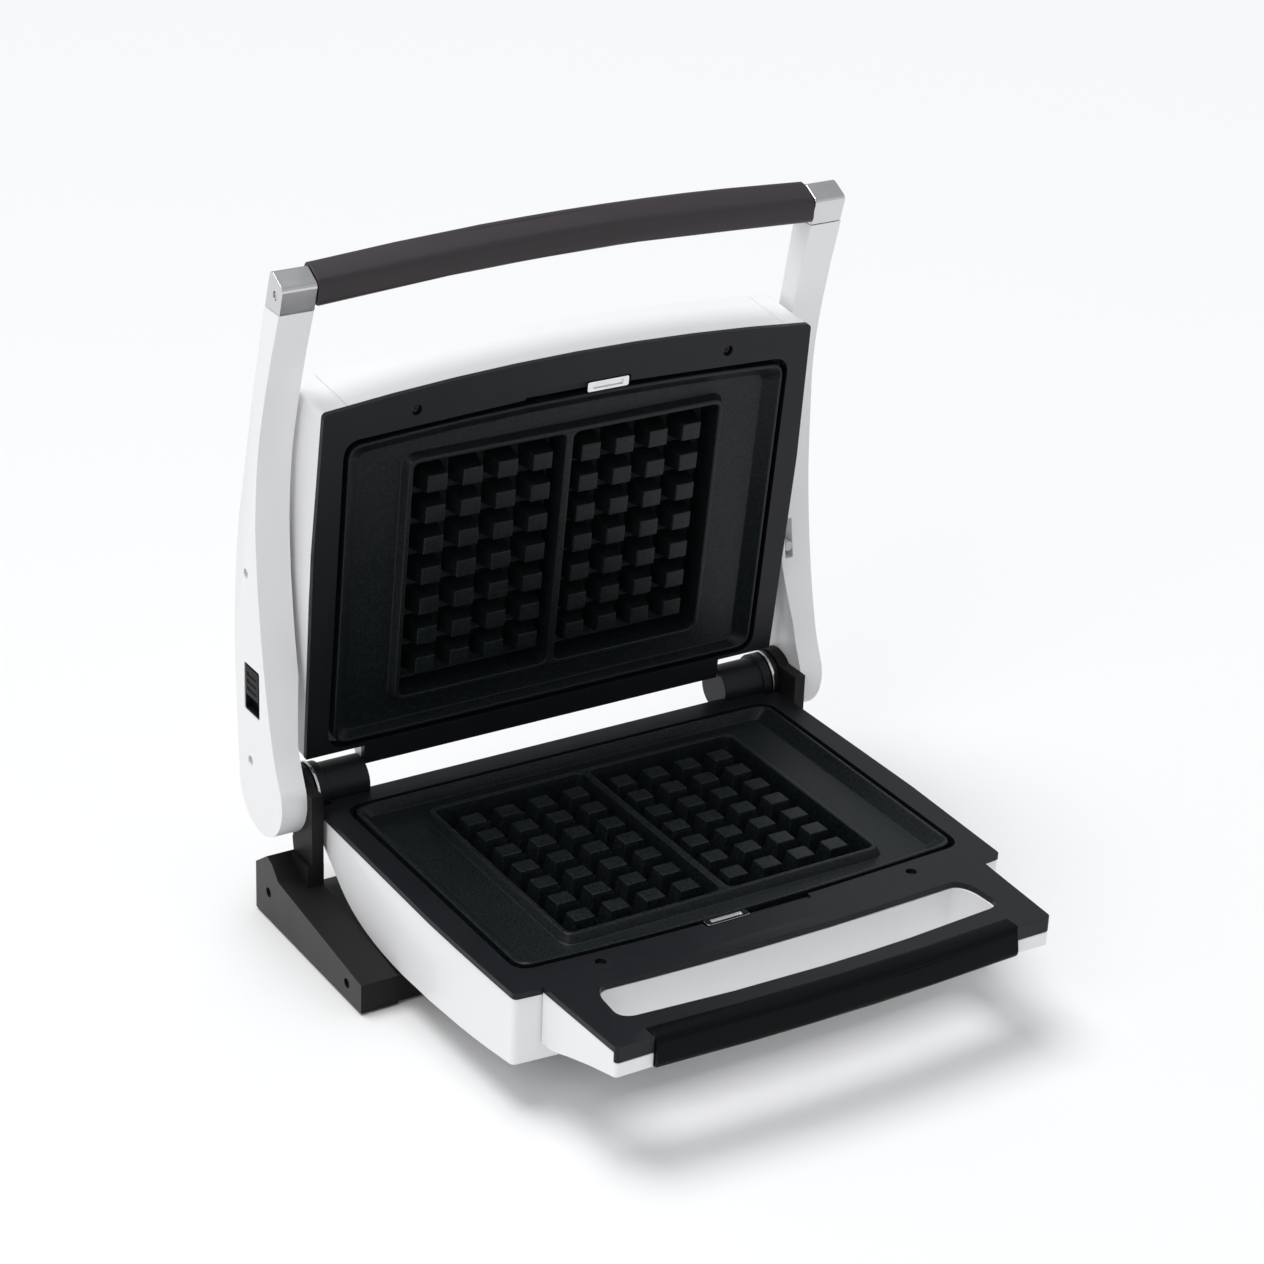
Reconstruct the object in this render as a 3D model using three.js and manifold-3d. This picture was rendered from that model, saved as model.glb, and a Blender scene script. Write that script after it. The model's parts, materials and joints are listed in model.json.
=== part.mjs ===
// Double waffle maker: a lower half on a wedge-footed stand, and an upper half
// carried between two curved arms that share one hinge axis at the back.
// Units are millimetres, +X to the right, +Y to the back, +Z up, floor at z = 0.
// The lid is drawn closed, above the lower half, and turned open about the hinge.

import * as THREE from 'three';
import { mergeVertices } from 'three/addons/utils/BufferGeometryUtils.js';
import Module from 'manifold-3d';

const wasm = await Module();
wasm.setup();

// ---------- driving dimensions ----------
const BEZEL_HEIGHT = 81;          // lower bezel's top face above the floor
const REAR_SHIFT = 16.08;         // moves the bezel centre so that the whole part is centred on Y
const HALF_WIDTH = 175;           // bezel corner, from the middle plane
const HALF_DEPTH = 128.7;         // bezel corner, front and back
const FRONT_BOW = 9.5;            // how far the front edge bows out in the middle
const REAR_BOW = 2;
const SIDE_BOW = 2.5;
const HINGE_Y = 139.5;            // hinge axis, from the bezel centre
const HINGE_Z = 3.5;
const OPEN_ANGLE = THREE.MathUtils.degToRad(84.3);
const LID_GAP = 1.1;              // between the two bezels when closed
const BEZEL_THICK = 4;
const WALL = 2.5;                 // wall of the moulded housings
const GAP = 0.3;                  // clearance between neighbouring pieces

const OPENING_X = 160.5;          // plate opening in the bezel
const OPENING_FRONT = -108;
const OPENING_REAR = 113;
const OPENING_BOW = 5;
const OPENING_CORNER = 13;
const GROOVE = 3.6;               // open gap between the bezel and the plate's rim
const CREST_TOP = 0.3;            // top of the plate's rim
const CREST_WIDTH = 2;
const TRAY_FLOOR = -6.8;          // plate tray below the bezel's top face
const TRAY_SIDE = 14;             // tray floor's edge, inside the opening
const TRAY_FRONT = 13;
const TRAY_REAR = 8;
const RECESS_X = 111;             // waffle recess
const RECESS_FRONT = -82.5;
const RECESS_REAR = 85.3;
const RECESS_DRAFT = 2;
const LIP_TOP = -1;               // raised lip round the recess
const LIP_WIDTH = 3;
const RECESS_FLOOR = -18.5;
const PLATE_BACK = -21;
const BLOCK_TOP = -2.5;
const BLOCK_COLUMNS = 4;
const BLOCK_ROWS = 7;
const BLOCK_PITCH_X = 25;
const BLOCK_PITCH_Y = 21.9;
const FIRST_COLUMN = 17.5;
const ROW_MIDDLE = 0.6;
const BLOCK_FOOT = 19;            // block width where it leaves the recess floor
const BLOCK_CROWN = 13.5;         // block width at its top

const ARM_OUT = 204;              // outer face of an arm
const ARM_IN = 181;               // inner face of an arm
const ARM_BOSS_IN = 186.5;        // inner face beside the hinge bracket
const PIVOT_Y = 156;              // pins that carry the lid between the arms
const PIVOT_Z = 155;
const HANDLE_END = 175.7;         // end of the upper grip
const FOOT_IN = 178;
const FOOT_OUT = 203.7;
const BARREL_IN = 134.8;          // inner end of a hinge barrel
const BARREL_RADIUS = 15;
const DISC_ROOM = 19.2;           // clearance radius around the discs beside the barrels
const SHAFT_RADIUS = 5;

// ---------- materials ----------
const finish = (color, roughness, metalness = 0) =>
  new THREE.MeshStandardMaterial({ color, roughness, metalness });
const whiteGloss = finish(0xf2f2f2, 0.25);
const bezelBlack = finish(0x24262a, 0.45);
const plateCoating = finish(0x1d2324, 0.5, 0.2);
const gripCharcoal = finish(0x443e42, 0.5);
const standAnthracite = finish(0x4b4a4d, 0.45);
const gripBlack = finish(0x1b1c1e, 0.4);
const chrome = finish(0xd8d8d8, 0.12, 1);
const steel = finish(0xa8a9ab, 0.35, 1);
const capMetal = finish(0x8b8b8d, 0.3, 0.8);
const aluminium = finish(0xc2c3c5, 0.4, 1);
const rubber = finish(0x222222, 0.85);
const paleMoulding = finish(0xd9d9da, 0.4);

// ---------- solids ----------
// A closed three.js geometry becomes a manifold-3d solid, and back again.
function solid(geometry) {
  const bare = geometry.clone();
  bare.deleteAttribute('normal');
  bare.deleteAttribute('uv');
  const merged = mergeVertices(bare, 1e-4);
  return new wasm.Manifold(new wasm.Mesh({
    numProp: 3,
    vertProperties: new Float32Array(merged.attributes.position.array),
    triVerts: new Uint32Array(merged.index.array),
  }));
}

function surface(body) {
  const mesh = body.getMesh();
  const geometry = new THREE.BufferGeometry();
  geometry.setAttribute('position', new THREE.BufferAttribute(mesh.vertProperties, 3));
  geometry.setIndex(new THREE.BufferAttribute(mesh.triVerts, 1));
  geometry.computeVertexNormals();
  return geometry;
}

const place = (geometry, x, y, z) => geometry.translate(x, y, z);

// A flat outline in X and Y, raised from zLow to zHigh.
function slab(shape, zLow, zHigh, curveSegments = 8) {
  const options = { depth: zHigh - zLow, bevelEnabled: false, curveSegments };
  return solid(new THREE.ExtrudeGeometry(shape, options).translate(0, 0, zLow));
}

// An outline in Y and Z (shape x is Y, shape y is Z), drawn out from xLow to xHigh.
function sideSlab(shape, xLow, xHigh, curveSegments = 8, steps = 1) {
  const options = { depth: xHigh - xLow, bevelEnabled: false, curveSegments, steps };
  const geometry = new THREE.ExtrudeGeometry(shape, options).translate(0, 0, xLow);
  const toSide = new THREE.Matrix4().makeBasis(
    new THREE.Vector3(0, 1, 0), new THREE.Vector3(0, 0, 1), new THREE.Vector3(1, 0, 0));
  return solid(geometry.applyMatrix4(toSide));
}

function block(xLow, xHigh, yLow, yHigh, zLow, zHigh) {
  const geometry = new THREE.BoxGeometry(xHigh - xLow, yHigh - yLow, zHigh - zLow);
  return solid(place(geometry, (xLow + xHigh) / 2, (yLow + yHigh) / 2, (zLow + zHigh) / 2));
}

// A round bar along X, Y or Z between two stations.
function bar(axis, radius, low, high, a, b, sides = 24) {
  const geometry = new THREE.CylinderGeometry(radius, radius, high - low, sides);
  const middle = (low + high) / 2;
  if (axis === 'x') place(geometry.rotateZ(Math.PI / 2), middle, a, b);
  if (axis === 'y') place(geometry, a, middle, b);
  if (axis === 'z') place(geometry.rotateX(Math.PI / 2), a, b, middle);
  return solid(geometry);
}

// A bar along X on one side of the machine, between two distances from the middle plane.
const sideBar = (side, radius, near, far, sides = 16, y = HINGE_Y, z = HINGE_Z) =>
  bar('x', radius, Math.min(side * near, side * far), Math.max(side * near, side * far), y, z, sides);

function polygon(points) {
  return new THREE.Shape(points.map(([a, b]) => new THREE.Vector2(a, b)));
}

// A rectangle with rounded corners, for openings, recesses and pads.
function roundedRectangle(xLow, xHigh, yLow, yHigh, radius, frontBow = 0) {
  const shape = new THREE.Shape();
  shape.moveTo(xLow + radius, yLow);
  shape.quadraticCurveTo((xLow + xHigh) / 2, yLow - 2 * frontBow, xHigh - radius, yLow);
  shape.quadraticCurveTo(xHigh, yLow, xHigh, yLow + radius);
  shape.lineTo(xHigh, yHigh - radius);
  shape.quadraticCurveTo(xHigh, yHigh, xHigh - radius, yHigh);
  shape.lineTo(xLow + radius, yHigh);
  shape.quadraticCurveTo(xLow, yHigh, xLow, yHigh - radius);
  shape.lineTo(xLow, yLow + radius);
  shape.quadraticCurveTo(xLow, yLow, xLow + radius, yLow);
  return shape;
}

// A solid that tapers from one outline to another with as many points.
function frustum(lowShape, zLow, highShape, zHigh) {
  const rings = [lowShape, highShape].map((shape) => shape.getPoints(5).slice(0, -1));
  const count = rings[0].length;
  const positions = rings.flatMap((ring, k) => ring.flatMap((p) => [p.x, p.y, k ? zHigh : zLow]));
  const cap = THREE.ShapeUtils.triangulateShape(rings[0], []);
  const faces = cap.flatMap(([a, b, c]) => [a, c, b, count + a, count + b, count + c]);
  for (let i = 0; i < count; i += 1) {
    const j = (i + 1) % count;
    faces.push(i, j, count + j, i, count + j, count + i);
  }
  const geometry = new THREE.BufferGeometry();
  geometry.setAttribute('position', new THREE.Float32BufferAttribute(positions, 3));
  geometry.setIndex(faces);
  return solid(geometry);
}

// The plan outline that both halves share, grown or shrunk by `grow`.
function halfOutline(grow = 0) {
  const x = HALF_WIDTH + grow;
  const y = HALF_DEPTH + grow;
  const corner = 4;
  const shape = new THREE.Shape();
  shape.moveTo(-x + corner, -y);
  shape.quadraticCurveTo(0, -y - 2 * FRONT_BOW, x - corner, -y);
  shape.quadraticCurveTo(x, -y, x, -y + corner);
  shape.quadraticCurveTo(x + 2 * SIDE_BOW, 0, x, y - corner);
  shape.quadraticCurveTo(x, y, x - corner, y);
  shape.quadraticCurveTo(0, y + 2 * REAR_BOW, -x + corner, y);
  shape.quadraticCurveTo(-x, y, -x, y - corner);
  shape.quadraticCurveTo(-x - 2 * SIDE_BOW, 0, -x, -y + corner);
  shape.quadraticCurveTo(-x, -y, -x + corner, -y);
  return shape;
}

// ---------- the two halves, drawn as the lower one with its bezel face at z = 0 ----------
// The housing's depth over Y: nearly even, then sweeping up to the back edge.
function depthProfile(inset) {
  const shape = new THREE.Shape();
  shape.moveTo(-HALF_DEPTH - 20, 1);
  shape.lineTo(-HALF_DEPTH - 20, -46 + inset);
  shape.lineTo(-HALF_DEPTH - 3, -48 + inset);
  shape.quadraticCurveTo(-70, -57 + inset, 0, -57.5 + inset);
  shape.quadraticCurveTo(60, -57.5 + inset, 86, -40 + inset);
  shape.quadraticCurveTo(104, -27 + inset, HALF_DEPTH + 8, -6 + inset);
  shape.lineTo(HALF_DEPTH + 8, 1);
  return shape;
}

function housing(top, bottomInset, closedBy = null) {
  const outer = slab(halfOutline(-0.4), -70, top).intersect(sideSlab(depthProfile(0), -190, 190));
  const inner = slab(halfOutline(-0.4 - WALL), -80, 5)
    .intersect(sideSlab(depthProfile(bottomInset), -185, 185));
  return outer.subtract(closedBy ? inner.subtract(closedBy) : inner);
}

// Room cut in the back corners for the hinge barrels and the discs beside them.
function barrelRoom() {
  let room = bar('x', BARREL_RADIUS + GAP, BARREL_IN - GAP, 182, HINGE_Y, HINGE_Z)
    .add(bar('x', BARREL_RADIUS + GAP, -182, -BARREL_IN + GAP, HINGE_Y, HINGE_Z));
  for (const side of [-1, 1]) room = room.add(sideBar(side, DISC_ROOM, 164.6, 182, 32));
  return room;
}

// The catch sits in the front rail: a long shallow pocket with a chrome slide at one end.
const CATCH_LOW_X = -36;
const CATCH_HIGH_X = 40;
const CATCH_FRONT = -117.5;
const CATCH_REAR = -109.2;
const CATCH_LENGTH = 30;
const CATCH_TRAVEL = 8;
const BEZEL_SCREW_X = 112;
const BEZEL_SCREW_Y = -120.5;

const plateOutline = (edge, front, rear, radius) => roundedRectangle(
  -OPENING_X + edge, OPENING_X - edge, OPENING_FRONT + front, OPENING_REAR - rear, radius, OPENING_BOW);

// The bezel's skirt hangs down round the opening.
const SKIRT_LOW = -9;
const skirtOutline = (grow) => {
  const edge = -2.4 - grow;
  return plateOutline(edge, edge, edge, OPENING_CORNER + 2);
};

function bezel() {
  const opening = plateOutline(0, 0, 0, OPENING_CORNER);
  let body = slab(halfOutline(0), -BEZEL_THICK, 0).subtract(slab(opening, -10, 5));
  body = body.add(slab(skirtOutline(0), SKIRT_LOW, -1).subtract(slab(opening, -12, 5)));
  body = body.subtract(slab(
    roundedRectangle(CATCH_LOW_X, CATCH_HIGH_X, CATCH_FRONT, CATCH_REAR, 2), -2.2, 5));
  for (const side of [-1, 1]) {
    body = body.subtract(bar('z', 3.6, -10, 5, side * BEZEL_SCREW_X, BEZEL_SCREW_Y, 12));
  }
  return body;
}

const catchSlide = (side) => {
  const low = side > 0 ? CATCH_HIGH_X - CATCH_LENGTH - 1.5 : CATCH_LOW_X + 1.5;
  const body = slab(roundedRectangle(
    low, low + CATCH_LENGTH, CATCH_FRONT + 0.7, CATCH_REAR - 0.8, 1.5), -1.9, 0.4);
  const dimple = roundedRectangle(
    low + 4, low + CATCH_LENGTH - 4, CATCH_FRONT + 2.6, CATCH_REAR - 2.6, 0.8);
  return body.subtract(slab(dimple, -0.7, 5));
};

// A tapered waffle block standing on the recess floor.
function waffleBlock(x, y) {
  const height = BLOCK_TOP - RECESS_FLOOR + 1;
  const side = Math.SQRT1_2;
  const geometry = new THREE.CylinderGeometry(BLOCK_CROWN * side, BLOCK_FOOT * side, height, 4)
    .rotateY(Math.PI / 4).rotateX(Math.PI / 2);
  const squeeze = BLOCK_PITCH_Y / BLOCK_PITCH_X;
  geometry.scale(1, squeeze, 1);
  return solid(place(geometry, x, y, BLOCK_TOP - height / 2));
}

const recessOutline = (low, high, grow, radius) => roundedRectangle(
  low - grow, high + grow, RECESS_FRONT - grow, RECESS_REAR + grow, radius);

function wafflePlate() {
  const dish = GROOVE + CREST_WIDTH;
  let body = slab(plateOutline(GROOVE, GROOVE, GROOVE, OPENING_CORNER - 2), -10, CREST_TOP);
  body = body.subtract(frustum(plateOutline(TRAY_SIDE, TRAY_FRONT, TRAY_REAR, 6), TRAY_FLOOR,
    plateOutline(dish, dish, dish, OPENING_CORNER - 4), CREST_TOP + 0.1));
  const cup = recessOutline(-RECESS_X, RECESS_X, 3, 8);
  const lipFoot = recessOutline(-RECESS_X, RECESS_X, LIP_WIDTH + 3, 10);
  const lipCrest = recessOutline(-RECESS_X, RECESS_X, LIP_WIDTH, 8);
  body = body.add(slab(cup, PLATE_BACK, TRAY_FLOOR)).add(frustum(lipFoot, -8, lipCrest, LIP_TOP));
  for (const side of [-1, 1]) {
    const low = side > 0 ? 2.6 : -RECESS_X;
    const high = side > 0 ? RECESS_X : -2.6;
    body = body.subtract(frustum(recessOutline(low, high, -RECESS_DRAFT, 4), RECESS_FLOOR,
      recessOutline(low, high, 0, 5), LIP_TOP + 0.1));
    for (let column = 0; column < BLOCK_COLUMNS; column += 1) {
      for (let row = 0; row < BLOCK_ROWS; row += 1) {
        const x = side * (FIRST_COLUMN + column * BLOCK_PITCH_X);
        const y = ROW_MIDDLE + (row - (BLOCK_ROWS - 1) / 2) * BLOCK_PITCH_Y;
        body = body.add(waffleBlock(x, y));
      }
    }
  }
  return body;
}

// A tubular heating element bent into a loop, its two cold ends turned to the back.
function heatingElement() {
  const z = PLATE_BACK - 4.2;
  const points = [
    [-14, 84, z - 3], [-14, 74, z], [-40, 62, z], [-88, 62, z], [-98, 50, z], [-98, -46, z],
    [-88, -58, z], [-40, -58, z], [0, -50, z], [40, -58, z], [88, -58, z], [98, -46, z],
    [98, 50, z], [88, 62, z], [40, 62, z], [14, 74, z], [14, 84, z - 3],
  ].map(([x, y, level]) => new THREE.Vector3(x, y, level));
  const path = new THREE.CatmullRomCurve3(points, false, 'catmullrom', 0.4);
  const section = new THREE.Shape().absarc(0, 0, 3.3, 0, 2 * Math.PI);
  const options = { steps: 44, curveSegments: 3, extrudePath: path };
  return solid(new THREE.ExtrudeGeometry(section, options));
}

function heatShield() {
  const pan = block(-142, 142, -92, 68, -38, -29.5);
  return pan.subtract(block(-141, 141, -91, 67, -37, -20))
    .subtract(block(-8, 8, 66, 70, -35, -20));
}

// The thermostat stands beside the plate, its round sensor turned down.
const thermostat = () => block(118, 138, 10, 38, -26, -12).add(bar('z', 5, -29, -25, 128, 24, 12));

const terminalBlock = () => block(78, 100, 0, 16, -51, -42)
  .subtract(bar('z', 2, -48, -41, 84, 8, 10))
  .subtract(bar('z', 2, -48, -41, 94, 8, 10));

// ---------- lower half ----------
const GLAND_X = 112;
const GLAND_Z = -24;

const lowerHousing = () => housing(-BEZEL_THICK - GAP, WALL)
  .subtract(barrelRoom())
  .subtract(bar('z', 4, -70, -40, -105, -75, 16))
  .subtract(bar('z', 4, -70, -40, 105, -75, 16))
  .subtract(bar('y', 6.3, 80, 140, GLAND_X, GLAND_Z, 20));

const lowerBezel = () => bezel().subtract(barrelRoom());

function cordGland() {
  const collar = bar('y', 9, 100, 124, GLAND_X, GLAND_Z)
    .subtract(sideSlab(depthProfile(-0.6), -190, 190));
  const neck = bar('y', 6, 96, 118, GLAND_X, GLAND_Z);
  return collar.add(neck).subtract(bar('y', 3.6, 90, 130, GLAND_X, GLAND_Z, 20));
}

// ---------- front handle, fixed to the lower half ----------
const HANDLE_ROOT_X = 157.5;
const HANDLE_TIP_X = 153.6;
const HANDLE_FRONT = -206.3;
const GRIP_X = 128;
const GRIP_FRONT = -208.5;
const GRIP_BOW = 4;
const HANDLE_TOP = 2;
const SLOT_END_X = 134.5;
const SLOT_BACK = -146;
const SLOT_FRONT = -181.5;
const LIP_LOW = -8.4;             // the top plate's lip, turned down over the two front corners
const LIP_BACK = HANDLE_FRONT + 2.6;

function handleOutline(grow) {
  const shape = new THREE.Shape();
  shape.moveTo(-HANDLE_ROOT_X - grow, -118);
  shape.lineTo(-HANDLE_TIP_X - grow, HANDLE_FRONT + 3);
  shape.quadraticCurveTo(-HANDLE_TIP_X, HANDLE_FRONT - grow, -HANDLE_TIP_X + 3, HANDLE_FRONT - grow);
  shape.lineTo(HANDLE_TIP_X - 3, HANDLE_FRONT - grow);
  shape.quadraticCurveTo(HANDLE_TIP_X, HANDLE_FRONT - grow, HANDLE_TIP_X + grow, HANDLE_FRONT + 3);
  shape.lineTo(HANDLE_ROOT_X + grow, -118);
  return shape;
}

function slotOutline(grow) {
  const shape = new THREE.Shape();
  const back = SLOT_BACK + grow;
  const front = SLOT_FRONT - grow;
  const end = SLOT_END_X + grow;
  shape.moveTo(-end + 11, back);
  shape.quadraticCurveTo(0, back - 7, end - 11, back);
  shape.quadraticCurveTo(end - 3, back - 1, end - 1, back - 14);
  shape.lineTo(end, front + 9.5);
  shape.quadraticCurveTo(end, front + 1.5, end - 9, front);
  shape.quadraticCurveTo(0, front - 12.5, -end + 9, front);
  shape.quadraticCurveTo(-end, front + 1.5, -end, front + 9.5);
  shape.lineTo(-end + 1, back - 14);
  shape.quadraticCurveTo(-end + 3, back - 1, -end + 11, back);
  return shape;
}

const gripRoom = (extra) => {
  const shape = new THREE.Shape();
  const x = GRIP_X + extra;
  shape.moveTo(-x, GRIP_FRONT - 10);
  shape.lineTo(x, GRIP_FRONT - 10);
  shape.lineTo(x, -196.5 + extra);
  shape.quadraticCurveTo(0, -204.5 + extra, -x, -196.5 + extra);
  return shape;
};

function handleShell() {
  const side = polygon([
    [-100, -2.4], [-207, -2.4], [-209, -6], [-208.5, -17.5], [-180, -24.5], [-158, -31],
    [-142, -36.5], [-100, -39]]);
  const body = slab(handleOutline(0), -60, 20).intersect(sideSlab(side, -180, 180));
  const hollow = slab(slotOutline(0), -60, 20);
  return body.subtract(hollow)
    .subtract(slab(halfOutline(GAP), -60, 20))
    .subtract(slab(gripRoom(GAP), -19, 20))
    .subtract(block(-180, 180, HANDLE_FRONT - 10, LIP_BACK + GAP, LIP_LOW - GAP, 20))
    .subtract(block(-116, 116, SLOT_BACK + 3.5, -118, -60, -6));
}

function handleTopPlate() {
  const lip = slab(handleOutline(0.2), LIP_LOW, 0)
    .intersect(block(-180, 180, HANDLE_FRONT - 10, LIP_BACK, -20, 20));
  return slab(handleOutline(0.2), -2.1, HANDLE_TOP).add(lip)
    .subtract(slab(slotOutline(0.4), -10, 20))
    .subtract(slab(halfOutline(GAP), -10, 20))
    .subtract(slab(gripRoom(GAP), -20, 20));
}

function frontGrip() {
  const side = new THREE.Shape();
  side.moveTo(-192, -18);
  side.lineTo(-205, -18.6);
  side.quadraticCurveTo(-210.5, -18.6, -210.3, -13);
  side.lineTo(-208.5, -3);
  side.quadraticCurveTo(-207.5, 2.6, -202, 2.7);
  side.lineTo(-192, 2.7);
  const options = { depth: 2 * GRIP_X, bevelEnabled: false, curveSegments: 5, steps: 12 };
  const geometry = new THREE.ExtrudeGeometry(side, options).translate(0, 0, -GRIP_X);
  geometry.applyMatrix4(new THREE.Matrix4().makeBasis(
    new THREE.Vector3(0, 1, 0), new THREE.Vector3(0, 0, 1), new THREE.Vector3(1, 0, 0)));
  const points = geometry.attributes.position;
  for (let i = 0; i < points.count; i += 1) {
    const across = points.getX(i) / GRIP_X;
    points.setY(i, points.getY(i) - GRIP_BOW * (1 - across * across));
  }
  const room = slab(gripRoom(0), -30, 20);
  return solid(geometry).intersect(room);
}

// ---------- stand ----------
const FOOT_BOTTOM = -BEZEL_HEIGHT + 1.5;
const CROSSBAR_TOP = -60.5;

function standFoot(side) {
  const outline = polygon([
    [5, FOOT_BOTTOM], [150, FOOT_BOTTOM], [150, -46], [134, -34.5], [127, -37],
    [118, -45.5], [5, -59.5]]);
  const bracket = new THREE.Shape();
  bracket.moveTo(105, -50);
  bracket.lineTo(128, -50);
  bracket.lineTo(133, -24);
  bracket.absarc(HINGE_Y, HINGE_Z, 19, -2.2, 2.388, false);
  bracket.lineTo(105.8, 16.5);
  const low = side > 0 ? FOOT_IN : -FOOT_OUT;
  const high = side > 0 ? FOOT_OUT : -FOOT_IN;
  const postLow = side > 0 ? FOOT_IN : -189.5;
  const postHigh = side > 0 ? 189.5 : -FOOT_IN;
  const plateLow = side > 0 ? FOOT_IN : -186.2;
  const plateHigh = side > 0 ? 186.2 : -FOOT_IN;
  let body = sideSlab(outline, low, high)
    .add(sideSlab(polygon([[105, -50], [127.5, -50], [127.5, -32], [105, -32]]), postLow, postHigh))
    .add(sideSlab(bracket, plateLow, plateHigh, 12));
  body = body.subtract(bar('x', SHAFT_RADIUS + GAP, -210, 210, HINGE_Y, HINGE_Z));
  for (const y of [24, 132]) {
    const z = y < 60 ? -68 : -60;
    body = body.subtract(sideBar(side, 3.4, FOOT_OUT - 12, FOOT_OUT + 5, 12, y, z));
    const padX = side * (FOOT_IN + FOOT_OUT) / 2;
    body = body.subtract(bar('z', 8.3, -90, FOOT_BOTTOM + 1.5, padX, y, 16));
  }
  return body;
}

const footScrew = (side, y, z) => sideBar(side, 3, FOOT_OUT - 11, FOOT_OUT - 3, 12, y, z)
  .subtract(sideBar(side, 1.3, FOOT_OUT - 4.6, FOOT_OUT, 6, y, z));

const rearPad = (side, y) => bar(
  'z', 8, -BEZEL_HEIGHT, FOOT_BOTTOM + 1.2, side * (FOOT_IN + FOOT_OUT) / 2, y, 16);

const standCrossbar = () => {
  const outline = polygon([[6, FOOT_BOTTOM + 0.5], [140, FOOT_BOTTOM + 0.5], [140, -66],
    [120, CROSSBAR_TOP], [6, CROSSBAR_TOP]]);
  const tunnel = polygon([[9, FOOT_BOTTOM - 2], [137, FOOT_BOTTOM - 2], [137, -69],
    [119, CROSSBAR_TOP - 3], [9, CROSSBAR_TOP - 3]]);
  return sideSlab(outline, -FOOT_IN + GAP, FOOT_IN - GAP)
    .subtract(sideSlab(tunnel, -FOOT_IN + 6, FOOT_IN - 6));
};

const frontLeg = (side) => {
  const profile = [[0, -BEZEL_HEIGHT], [8, -BEZEL_HEIGHT], [9.5, -60], [11, -57.6], [3.6, -57.6],
    [3.6, -46], [0, -46]];
  const points = profile.map(([r, z]) => new THREE.Vector2(r, z));
  const geometry = new THREE.LatheGeometry(points, 20).rotateX(Math.PI / 2);
  return solid(place(geometry, side * 105, -75, 0));
};

// ---------- hinge stack, from the inside out ----------
const hingeBarrel = (side) => sideBar(side, BARREL_RADIUS, BARREL_IN, 166, 28)
  .add(sideBar(side, 17, 165, 171.2, 28))
  .subtract(sideBar(side, SHAFT_RADIUS + GAP, 140, 180));

const hingeWasher = (side, near, far, radius) => sideBar(side, radius, near, far, 28)
  .subtract(sideBar(side, SHAFT_RADIUS + GAP, 120, 210));

const hingeShaft = (side) => sideBar(side, SHAFT_RADIUS, 142, 199);

// ---------- arms and upper handle, drawn as they stand with the lid open ----------
const CAP_SEAM = 333;

function armOutline() {
  const shape = new THREE.Shape();
  shape.moveTo(120.3, CAP_SEAM);
  shape.splineThru([[130, 300], [138, 268], [143.6, 238], [145.5, 205], [143.9, 160],
    [139.3, 120], [132.2, 80], [122.7, 42], [113.5, 20]].map(([y, z]) => new THREE.Vector2(y, z)));
  for (const turn of [0.885, 1.264, 1.643]) {
    shape.absarc(141.5, 9, 30.3, Math.PI * turn, Math.PI * (turn + 0.379), false);
  }
  shape.splineThru([[174.3, 55], [176.5, 95], [175.5, 130], [171.5, 165], [165, 203],
    [158.5, 240], [153, 270], [146.5, 300], [139.4, CAP_SEAM]]
    .map(([y, z]) => new THREE.Vector2(y, z)));
  return shape;
}

// The arms lean in a little above the lid, so that they meet the narrower grip.
const LEAN_FROM = 190;
const LEAN = 0.031;
function leanIn(body, side) {
  return body.warp((vertex) => {
    if (vertex[2] > LEAN_FROM) vertex[0] -= side * LEAN * (vertex[2] - LEAN_FROM);
  });
}

const ARM_SCREWS = [[PIVOT_Y + 4, PIVOT_Z - 3], [155.5, 24]];
const PIN_RADIUS = 4.8;
const SLIDER_LOW = 58;             // window of the release slide
const SLIDER_HIGH = 91;
const SLIDER_FRONT = 142;
const SLIDER_REAR = 163;
const SLIDER_LENGTH = 20;
const SLIDER_WALL = 1.2;          // wall of the bed round the slide
const TAPER_TOP = 88;             // the inner face draws back from here down to the hinge bracket
const TAPER_LOW = 46;

function arm(side) {
  const low = side > 0 ? ARM_IN : -ARM_OUT;
  const high = side > 0 ? ARM_OUT : -ARM_IN;
  let body = leanIn(sideSlab(armOutline(), low, high, 4), side);
  const taper = slab(polygon([[ARM_IN - 5, TAPER_TOP], [ARM_IN, TAPER_TOP],
    [ARM_BOSS_IN, TAPER_LOW], [ARM_BOSS_IN, -60], [ARM_IN - 5, -60]]), -200, -80).rotate([90, 0, 0]);
  body = body.subtract(side > 0 ? taper : taper.mirror([1, 0, 0]))
    .subtract(sideBar(side, SHAFT_RADIUS + GAP, 180, 199.4))
    .subtract(sideBar(side, PIN_RADIUS + GAP, 178, 196.4, 16, PIVOT_Y, PIVOT_Z));
  for (const [y, z] of ARM_SCREWS) {
    body = body.subtract(sideBar(side, 3.4, ARM_OUT - 4, ARM_OUT + 4, 12, y, z));
  }
  if (side < 0) {
    const window = roundedRectangle(SLIDER_FRONT, SLIDER_REAR, SLIDER_LOW, SLIDER_HIGH, 2);
    body = body.subtract(sideSlab(window, -ARM_OUT - 5, -ARM_OUT + 9));
  } else {
    body = body.subtract(block(184, 190, 120, 146, 92, 119));
  }
  return body;
}

const armScrew = (side, y, z) => sideBar(side, 3, ARM_OUT - 3.7, ARM_OUT - 1.2, 12, y, z)
  .subtract(sideBar(side, 1.2, ARM_OUT - 2.2, ARM_OUT, 6, y, z));

const CAP_SCREW_Y = 126;
const CAP_SCREW_Z = 344;
const TUBE_Y = 127;               // the tube that runs through the upper grip
const TUBE_Z = 346;

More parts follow.
